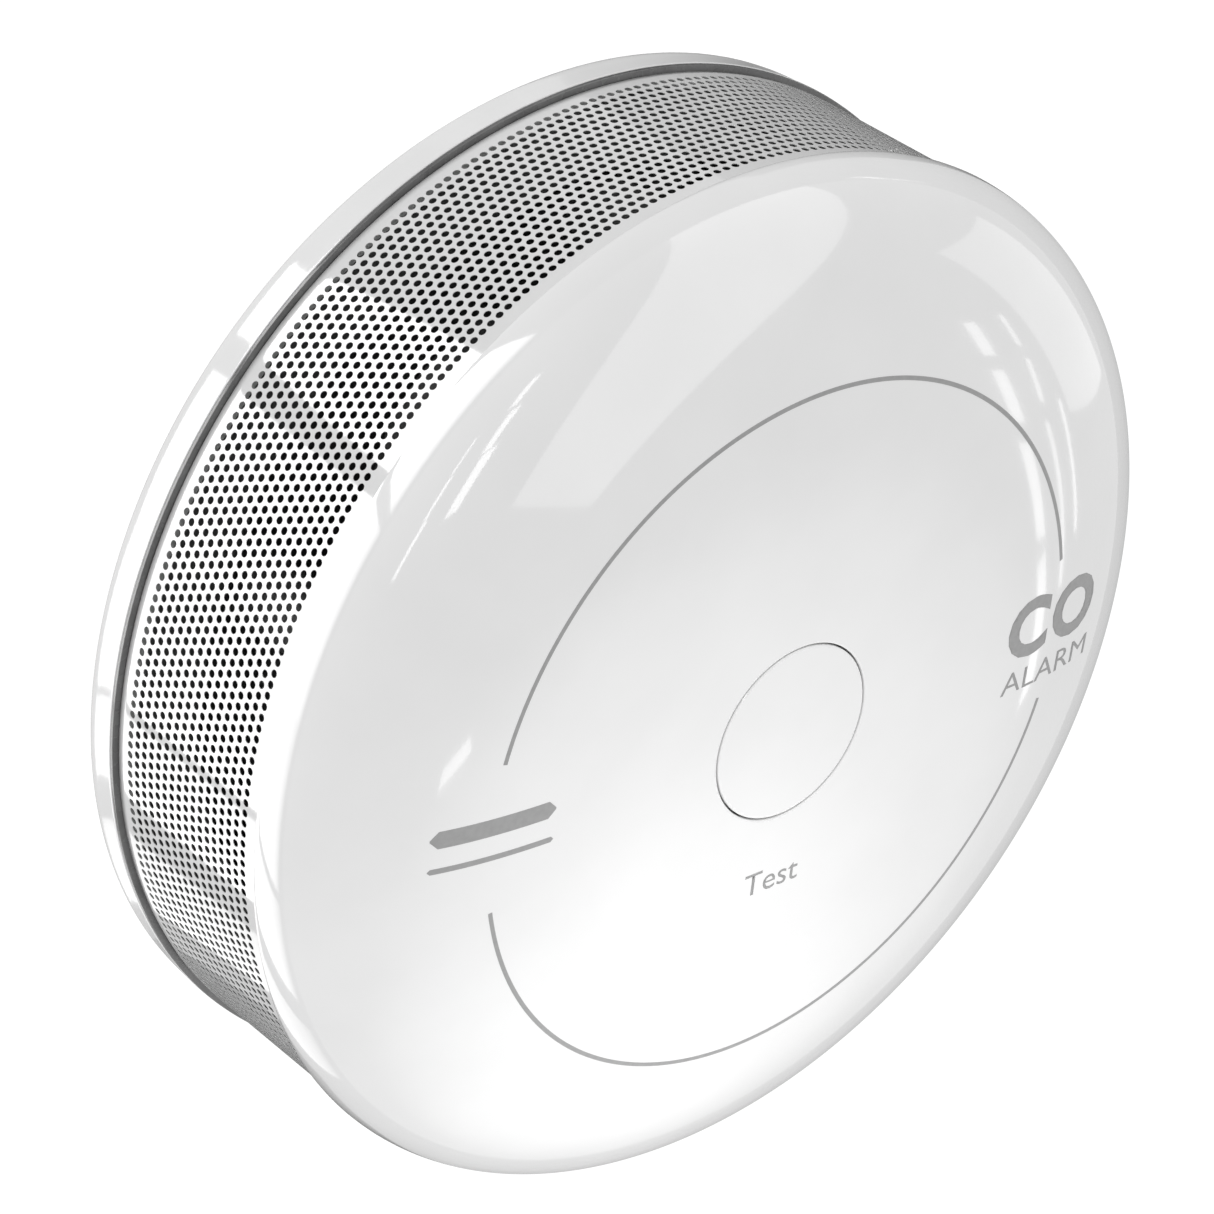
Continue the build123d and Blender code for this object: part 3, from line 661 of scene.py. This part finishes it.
RAMP_TURN = math.radians(27.0)
RAMP_REACH = POST_R * math.sin(math.radians(9.0))
ramp_side = [
    (-RAMP_REACH - 0.6, 1.2), (-RAMP_REACH - 0.6, 1.86), (RAMP_REACH, 2.94),
    (RAMP_REACH + 1.5, 2.94), (RAMP_REACH + 1.6, 2.84), (RAMP_REACH + 1.6, 1.2),
]
along = Vector((math.sin(RAMP_TURN), -math.cos(RAMP_TURN), 0))
across = Vector((math.cos(RAMP_TURN), math.sin(RAMP_TURN), 0))
ramp_verts = [
    tuple(across * (POST_R + side) + along * s + Vector((0, 0, z)))
    for side in (-1.4, 1.4)
    for s, z in ramp_side
]
ramp_count = len(ramp_side)
ramp_faces = [list(range(ramp_count)), list(range(2 * ramp_count - 1, ramp_count - 1, -1))]
ramp_faces += [
    [k, ramp_count + k, ramp_count + (k + 1) % ramp_count, (k + 1) % ramp_count] for k in range(ramp_count)
]
base_parts.append(outward(add_mesh("ramp", ramp_verts, ramp_faces, BASE_WHITE)))
stand_in(join("base_moulding", base_parts), "base", "base_plastic", "mounting_base")


# ---------------------------------------------------------------- printed marks
INK_PROUD = 0.012
INK_DEPTH = 0.05


def print_line(name, radius, width, arc, segments):
    """A printed arc that follows the crown."""
    inner, outer = radius - width / 2, radius + width / 2
    outline = [
        (inner, crown_height(inner) - INK_DEPTH),
        (outer, crown_height(outer) - INK_DEPTH),
        (outer, crown_height(outer) + INK_PROUD),
        (radius, crown_height(radius) + INK_PROUD + 0.002),
        (inner, crown_height(inner) + INK_PROUD),
    ]
    return lathe(name, outline, PRINT_INK, segments, arc=arc)


def wrap_print(name, flat, step=0.4):
    """Cuts a flat mesh into small pieces, lays it on the crown and gives it thickness."""
    work = bmesh.new()
    work.from_mesh(flat)
    for axis in (0, 1):
        values = [v.co[axis] for v in work.verts]
        cut = math.floor(min(values) / step) * step + step
        while cut < max(values):
            plane = [0.0, 0.0, 0.0]
            plane[axis] = 1.0
            spot = [0.0, 0.0, 0.0]
            spot[axis] = cut
            bmesh.ops.bisect_plane(
                work, geom=work.verts[:] + work.edges[:] + work.faces[:], dist=1e-5,
                plane_co=spot, plane_no=plane,
            )
            cut += step
    bmesh.ops.remove_doubles(work, verts=work.verts, dist=1e-5)
    for v in work.verts:
        v.co.z = crown_height(math.hypot(v.co.x, v.co.y)) + INK_PROUD
    under = bmesh.ops.extrude_face_region(work, geom=work.faces[:])
    for v in under["geom"]:
        if isinstance(v, bmesh.types.BMVert):
            v.co.z -= INK_PROUD + INK_DEPTH
    bmesh.ops.recalc_face_normals(work, faces=work.faces)
    bmesh.ops.scale(work, vec=Vector((MM, MM, MM)), verts=work.verts)
    mesh = bpy.data.meshes.new(name)
    work.to_mesh(mesh)
    work.free()
    mesh.materials.clear()
    mesh.materials.append(PRINT_INK)
    piece = bpy.data.objects.new(name, mesh)
    bpy.context.scene.collection.objects.link(piece)
    return piece


def lettering(name, words, centre, width, height, weight, spacing):
    """Generic printed words, scaled to a width and capital height in millimetres."""
    curve = bpy.data.curves.new(name, "FONT")
    curve.body = words
    curve.size = 1.0
    curve.offset = weight
    curve.space_character = spacing
    curve.resolution_u = 4
    source = bpy.data.objects.new(name + "_source", curve)
    bpy.context.scene.collection.objects.link(source)
    graph = bpy.context.evaluated_depsgraph_get()
    flat = bpy.data.meshes.new_from_object(source.evaluated_get(graph))
    bpy.data.objects.remove(source)
    xs = [v.co.x for v in flat.vertices]
    ys = [v.co.y for v in flat.vertices]
    scale_x = width / (max(xs) - min(xs))
    scale_y = height / (max(ys) - min(ys))
    for v in flat.vertices:
        v.co.x = centre[0] + (v.co.x - (min(xs) + max(xs)) / 2) * scale_x
        v.co.y = centre[1] + (v.co.y - (min(ys) + max(ys)) / 2) * scale_y
    return wrap_print(name, flat)


def bar(name, centre, size):
    flat = bpy.data.meshes.new(name)
    x, y = centre
    w, h = size[0] / 2, size[1] / 2
    cut = h * 0.9
    outline = [
        (x - w + cut, y - h, 0), (x + w - cut, y - h, 0), (x + w, y - h + cut, 0), (x + w, y + h - cut, 0),
        (x + w - cut, y + h, 0), (x - w + cut, y + h, 0), (x - w, y + h - cut, 0), (x - w, y - h + cut, 0),
    ]
    flat.from_pydata(outline, [], [list(range(8))])
    return wrap_print(name, flat)


RING_LINE_R = 21.84
prints = [
    print_line("ring_line_front", RING_LINE_R, 0.26, (12.7, 167.3), 220),
    print_line("ring_line_back", RING_LINE_R, 0.26, (192.7, 347.3), 220),
    lettering("gas_label", "CO", (21.5, 0.90), 8.2, 4.1, 0.036, 1.12),
    lettering("kind_label", "ALARM", (21.6, -2.65), 8.2, 1.45, -0.006, 1.0),
    lettering("test_label", "Test", (0.0, -9.9), 4.2, 1.5, -0.004, 1.0),
    bar("plain_mark_wide", (-21.55, 0.95), (8.0, 1.1)),
    bar("plain_mark_thin", (-21.55, -1.05), (8.0, 0.35)),
]
for mark in prints:
    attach(mark, "head")


# ---------------------------------------------------------------- springs
def coil(name, centre, radius, wire, pitch, low, high, ground=0.75):
    """A compression spring with closed, flattened end turns, from z = low to z = high."""
    free = high - low - 2 * wire - 2 * ground * wire
    turns = free / pitch
    path = []
    steps = 40
    total = turns + 2
    for k in range(int(total * steps) + 1):
        turn = k / steps
        if turn < 1:
            z = low + wire + ground * wire * turn
        elif turn > total - 1:
            z = high - wire - ground * wire * (total - turn)
        else:
            z = low + wire + ground * wire + pitch * (turn - 1)
        path.append((radius * math.cos(math.tau * turn), radius * math.sin(math.tau * turn), z))
    verts, faces = [], []
    sides = 10
    for k, spot in enumerate(path):
        turn = math.tau * k / steps
        for side in range(sides):
            roll = math.tau * side / sides
            reach = radius + wire * math.cos(roll)
            x, y = centre[0] + reach * math.cos(turn), centre[1] + reach * math.sin(turn)
            verts.append((x, y, spot[2] + wire * math.sin(roll)))
    for k in range(len(path) - 1):
        for side in range(sides):
            n = (side + 1) % sides
            faces.append([k * sides + side, k * sides + n, (k + 1) * sides + n, (k + 1) * sides + side])
    faces.append(list(range(sides)))
    faces.append(list(range(len(verts) - 1, len(verts) - 1 - sides, -1)))
    return outward(add_mesh(name, verts, faces, SPRING_STEEL, 50.0))


def spring_box(node):
    low, high = box_mm(node)
    return ((low[0] + high[0]) / 2, (low[1] + high[1]) / 2), low, high


spot, low, high = spring_box("button_spring")
button_coil = coil("button_coil", spot, (high[0] - low[0]) / 2 - 0.17, 0.17, 0.5, low[2], high[2])
stand_in(button_coil, "head", "spring_steel", "button_spring")
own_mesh(button_coil)
spot, low, high = spring_box("tamper_spring")
tamper_coil = coil("tamper_coil", spot, (high[0] - low[0]) / 2 - 0.2, 0.2, 1.4, low[2], high[2])
stand_in(tamper_coil, "head", "spring_steel", "tamper_spring")
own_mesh(tamper_coil)

# ---------------------------------------------------------------- finishes of the inner parts
SLOT_FINISH = {
    "white_plastic": GLOSS_WHITE,
    "base_plastic": BASE_WHITE,
    "inner_plastic": INNER_GREY_AND_SHADE,
    "seal": SEAL_GREY_AND_GROOVE_SHADE,
    "spring_steel": SPRING_STEEL,
    "contact_metal": STEEL,
    "brass": BRASS,
    "ceramic": CERAMIC,
    "board": BOARD_GREEN,
    "black_plastic": BLACK_PLASTIC,
    "chip": CHIP_EPOXY,
    "capacitor_body": CAPACITOR_TAN,
    "steel": STEEL,
    "screw": SCREW_STEEL,
    "clear_plastic": CLEAR,
    "lamp": LAMP,
    "cell_wrap": CELL_WRAP,
    "copper": COPPER,
}
for part in frame["record"]["subparts"]:
    mesh = frame["nodes"][part["node"]].data
    mesh.materials.clear()
    mesh.materials.append(SLOT_FINISH[part["material_slot"]])


# ---------------------------------------------------------------- studio
def direction(azimuth, elevation):
    """Unit vector to a place seen from the alarm: azimuth from +X towards +Y."""
    a, e = math.radians(azimuth), math.radians(elevation)
    return Vector((math.cos(a) * math.cos(e), math.sin(a) * math.cos(e), math.sin(e)))


def camera_basis(azimuth, elevation, roll):
    """Right, up and back axes of a camera that looks at the alarm from a direction."""
    back = direction(azimuth, elevation)
    level_right = Vector((0, 0, 1)).cross(back).normalized()
    level_up = back.cross(level_right)
    turn = math.radians(roll)
    right = level_right * math.cos(turn) - level_up * math.sin(turn)
    up = level_right * math.sin(turn) + level_up * math.cos(turn)
    return right, up, back


# The camera comes from a fit to the photograph
CAMERA_AZIMUTH = 139.942
CAMERA_ELEVATION = 38.662
CAMERA_ROLL = -124.188
CAMERA_DISTANCE_MM = 265.42
CAMERA_LENS = 134.22
AIM_MM = Vector((-0.902, 0.770, 12.75))
right, up, back = camera_basis(CAMERA_AZIMUTH, CAMERA_ELEVATION, CAMERA_ROLL)
camera_data = bpy.data.cameras.new("camera")
camera_data.lens = CAMERA_LENS
camera_data.sensor_width = 36.0
camera_data.clip_start = 0.01
camera_data.clip_end = 50.0
camera = bpy.data.objects.new("camera", camera_data)
bpy.context.scene.collection.objects.link(camera)
camera.location = (AIM_MM + back * CAMERA_DISTANCE_MM) * MM
camera.rotation_mode = "QUATERNION"
camera.rotation_quaternion = Matrix((right, up, back)).transposed().to_quaternion()
bpy.context.scene.camera = camera


def seen(r, u, b):
    """A direction given along the camera's right, up and back axes."""
    return right * r + up * u + back * b


def reflector(name, mesh, radiance, falloff=None, solid=False):
    """A panel that only shows up in glossy reflections. falloff fades it out from its
    middle to that radius in metres. A solid one hides what is behind it."""
    material = bpy.data.materials.new(name)
    material.use_nodes = True
    tree = material.node_tree
    tree.nodes.clear()
    out = tree.nodes.new("ShaderNodeOutputMaterial")
    glow = tree.nodes.new("ShaderNodeEmission")
    glow.inputs["Strength"].default_value = radiance
    if falloff:
        coord = tree.nodes.new("ShaderNodeTexCoord")
        scale = tree.nodes.new("ShaderNodeVectorMath")
        scale.operation = "SCALE"
        scale.inputs["Scale"].default_value = 1 / falloff
        tree.links.new(coord.outputs["Object"], scale.inputs[0])
        fade = tree.nodes.new("ShaderNodeTexGradient")
        fade.gradient_type = "SPHERICAL"
        tree.links.new(scale.outputs[0], fade.inputs["Vector"])
        ease = tree.nodes.new("ShaderNodeMapRange")
        ease.interpolation_type = "SMOOTHSTEP"
        ease.inputs["From Max"].default_value = 0.85
        ease.inputs["To Max"].default_value = radiance
        tree.links.new(fade.outputs["Fac"], ease.inputs["Value"])
        tree.links.new(ease.outputs["Result"], glow.inputs["Strength"])
    if solid:
        tree.links.new(glow.outputs[0], out.inputs["Surface"])
    else:
        clear = tree.nodes.new("ShaderNodeBsdfTransparent")
        both = tree.nodes.new("ShaderNodeAddShader")
        tree.links.new(glow.outputs[0], both.inputs[0])
        tree.links.new(clear.outputs[0], both.inputs[1])
        tree.links.new(both.outputs[0], out.inputs["Surface"])
    mesh.materials.append(material)
    panel = bpy.data.objects.new(name, mesh)
    bpy.context.scene.collection.objects.link(panel)
    panel.visible_camera = False
    panel.visible_diffuse = False
    panel.visible_shadow = False
    panel.visible_transmission = False
    return panel


def floor_reflector(name, corners, radiance, falloff=None, solid=False):
    """A reflector lying just above the floor, corners in millimetres."""
    mesh = bpy.data.meshes.new(name)
    verts = [(x * MM, y * MM, 0.05 * MM) for x, y in corners]
    mesh.from_pydata(verts, [], [list(range(len(verts)))])
    return reflector(name, mesh, radiance, falloff, solid)


def soft_reflector(name, towards, reach, radius, radiance):
    """A round glow that fades towards its edge, facing the alarm."""
    mesh = bpy.data.meshes.new(name)
    rim = [(radius * math.cos(math.tau * k / 64), radius * math.sin(math.tau * k / 64), 0) for k in range(64)]
    mesh.from_pydata(rim, [], [list(range(64))])
    panel = reflector(name, mesh, radiance, radius)
    panel.location = towards.normalized() * reach
    panel.rotation_mode = "QUATERNION"
    panel.rotation_quaternion = towards.to_track_quat("Z", "Y")
    return panel


def panel(name, corners, radiance, reach=4.0):
    """A flat reflector whose corners lie in given directions."""
    mesh = bpy.data.meshes.new(name)
    mesh.from_pydata([tuple(c.normalized() * reach) for c in corners], [], [list(range(len(corners)))])
    return reflector(name, mesh, radiance)


def tube(name, start, end, half_width, radiance):
    """A long narrow reflector between two directions."""
    side = start.cross(end).normalized() * half_width
    panel(name, (start - side, start + side, end + side, end - side), radiance)


# The directions, floor points and floor corners from here to face_glow were worked out by scratch
# scripts from where the reflections lie in the photograph, and typed in.
panel(
    "softbox_main",
    (
        seen(1.30, -0.737, 0.449),
        seen(0.90, -0.523, 0.982),
        seen(0.32, 1.448, 0.482),
        seen(0.72, 1.233, -0.052),
    ),
    1.15,
    1.2,
)
panel(
    "softbox_side",
    (
        seen(0.86, 0.362, -0.359),
        seen(0.992, 0.071, -0.103),
        seen(0.874, -0.206, -0.44),
        seen(0.742, 0.003, -0.671),
    ),
    0.7,
)
WIDE_TUBES = (
    ((0.963, -0.191, -0.193), (0.937, -0.250, -0.245)),
    ((0.926, -0.271, -0.263), (0.893, -0.325, -0.311)),
    ((0.882, -0.343, -0.323), (0.841, -0.393, -0.371)),
    ((0.834, -0.401, -0.379), (0.782, -0.437, -0.445)),
)
NARROW_TUBES = (
    ((0.958, -0.127, -0.256), (0.936, -0.182, -0.303)),
    ((0.926, -0.199, -0.321), (0.899, -0.255, -0.356)),
    ((0.888, -0.276, -0.368), (0.810, -0.369, -0.455)),
    ((0.889, -0.213, -0.405), (0.820, -0.311, -0.480)),
)
for k, (start, end) in enumerate(WIDE_TUBES):
    tube(f"wide_tube_{k}", seen(*start), seen(*end), 0.0135, 2.2)
for k, (start, end) in enumerate(NARROW_TUBES):
    tube(f"narrow_tube_{k}", seen(*start), seen(*end), 0.007, 2.0)
LEFT_TUBES = (
    ((0.211, 0.359, 0.909), (0.179, 0.251, 0.951), 0.030),
    ((0.228, 0.213, 0.950), (0.199, 0.055, 0.979), 0.036),
    ((0.239, 0.038, 0.970), (0.201, -0.173, 0.964), 0.050),
    ((-0.016, 0.242, 0.970), (-0.056, 0.114, 0.992), 0.012),
    ((-0.041, 0.098, 0.994), (-0.092, -0.039, 0.995), 0.018),
    ((-0.070, -0.055, 0.996), (-0.145, -0.225, 0.963), 0.022),
)
for k, (start, end, half_width) in enumerate(LEFT_TUBES):
    tube(f"left_tube_{k}", seen(*start), seen(*end), half_width, 4.2)
panel(
    "low_lamp",
    (
        seen(0.709, -0.691, 0.142),
        seen(0.637, -0.744, 0.202),
        seen(0.650, -0.728, 0.222),
        seen(0.704, -0.684, 0.175),
    ),
    3.0,
)
FLAG_GREY = 0.5
flag_mesh = bpy.data.meshes.new("floor_flag")
FLAG_HALF = 2.0
SHEET_CORNERS = ((-1, -1), (1, -1), (1, 1), (-1, 1))
flag_corners = [(x * FLAG_HALF, y * FLAG_HALF, -0.05 * MM) for x, y in SHEET_CORNERS]
flag_mesh.from_pydata(flag_corners, [], [(0, 1, 2, 3)])
reflector("floor_flag", flag_mesh, FLAG_GREY, solid=True)
REACH_MM = 300.0
INNER_MARGIN_MM = 3


def fan(name, near_a, far_a, near_b, far_b, radiance, falloff=0.3, solid=False, reach=REACH_MM):
    """A floor reflector between two lines running outward from the alarm."""
    lines = []
    for near, far in ((near_a, far_a), (near_b, far_b)):
        start, end = Vector(near), Vector(far)
        along = (end - start).normalized()
        lines.append((start - along * INNER_MARGIN_MM, start + along * reach))
    (inner_a, outer_a), (inner_b, outer_b) = lines
    middle = (outer_a + outer_b) / 2
    middle *= max(outer_a.length, outer_b.length) / middle.length
    corners = [inner_a, outer_a, middle, outer_b, inner_b]
    floor_reflector(name, [tuple(c) for c in corners], radiance, falloff, solid)


fan("reflector_a", (-23.6, 32.3), (-27.0, 44.8), (-30.1, 26.6), (-42.8, 34.1), 5.6)
fan("reflector_b", (-32.5, 24.2), (-45.2, 30.9), (-38.3, 11.0), (-54.0, 8.0), 5.2)
fan("reflector_c", (-38.3, 11.0), (-54.0, 8.0), (-38.6, -3.7), (-49.9, -14.1), 4.2)
fan("reflector_d", (-38.5, -4.6), (-49.4, -15.5), (-36.0, -12.1), (-42.4, -26.0), 2.9)
fan("reflector_e", (-33.9, -15.6), (-38.7, -30.0), (-28.5, -23.0), (-30.5, -38.0), 1.3)
fan("dark_flag_top", (-1.5, 32.5), (5.5, 39.6), (21.5, 25.5), (29.2, 19.1), 0.06, None, True, 34.0)
fan("dark_flag_low", (-25.0, -26.0), (-25.5, -39.0), (-20.0, -27.0), (-9.0, -36.0), 0.12, None, True, 34.0)
floor_reflector("rim_lamp", ((270, 249), (295, 225), (654, 400), (415, 190), (453, 262), (654, 450)), 2.0)
soft_reflector("face_glow", seen(0.531, -0.799, -0.283), 1.2, 0.75, 0.95)


def pool(name, spot_mm, radius, power):
    """A soft round pool of light on the front, from a lamp straight above it."""
    height = 0.4
    data = bpy.data.lights.new(name, "SPOT")
    data.energy = power
    data.spot_size = 2 * math.atan(radius * MM / (height - TOP * MM))
    data.spot_blend = 1.0
    data.shadow_soft_size = 0.004
    lamp = bpy.data.objects.new(name, data)
    bpy.context.scene.collection.objects.link(lamp)
    lamp.location = (spot_mm[0] * MM, spot_mm[1] * MM, height)
    lamp.visible_glossy = False
    lamp.visible_camera = False


POOL_CENTRE = (-6.6, -15.6)
pool("pool_inner", POOL_CENTRE, 18, 0.80)
pool("pool_middle", POOL_CENTRE, 36, 0.93)
pool("pool_outer", POOL_CENTRE, 80, 0.27)

world = bpy.data.worlds.new("studio")
world.use_nodes = True
bpy.context.scene.world = world
tree = world.node_tree
tree.nodes.clear()
world_out = tree.nodes.new("ShaderNodeOutputWorld")
glow = tree.nodes.new("ShaderNodeBackground")
glow.inputs["Color"].default_value = (1, 1, 1, 1)
glow.inputs["Strength"].default_value = 0.78
tree.links.new(glow.outputs["Background"], world_out.inputs["Surface"])


def floor_material():
    """A pale sweep that glows a little, as a lit table does, so that its shadows stay light."""
    material, tree, bsdf = shader("floor_paper")
    bsdf.inputs["Base Color"].default_value = (0.12, 0.12, 0.12, 1)
    bsdf.inputs["Roughness"].default_value = 0.8
    bsdf.inputs["Specular IOR Level"].default_value = 0.0
    bsdf.inputs["Emission Color"].default_value = (1, 1, 1, 1)
    bsdf.inputs["Emission Strength"].default_value = 0.97
    return material


floor_mesh = bpy.data.meshes.new("floor")
FLOOR_HALF = 6.0
floor_corners = [(x * FLOOR_HALF, y * FLOOR_HALF, -0.1 * MM) for x, y in SHEET_CORNERS]
floor_mesh.from_pydata(floor_corners, [], [(0, 1, 2, 3)])
floor_mesh.materials.append(floor_material())
floor = bpy.data.objects.new("floor", floor_mesh)
bpy.context.scene.collection.objects.link(floor)

bpy.context.scene.view_settings.view_transform = "Standard"
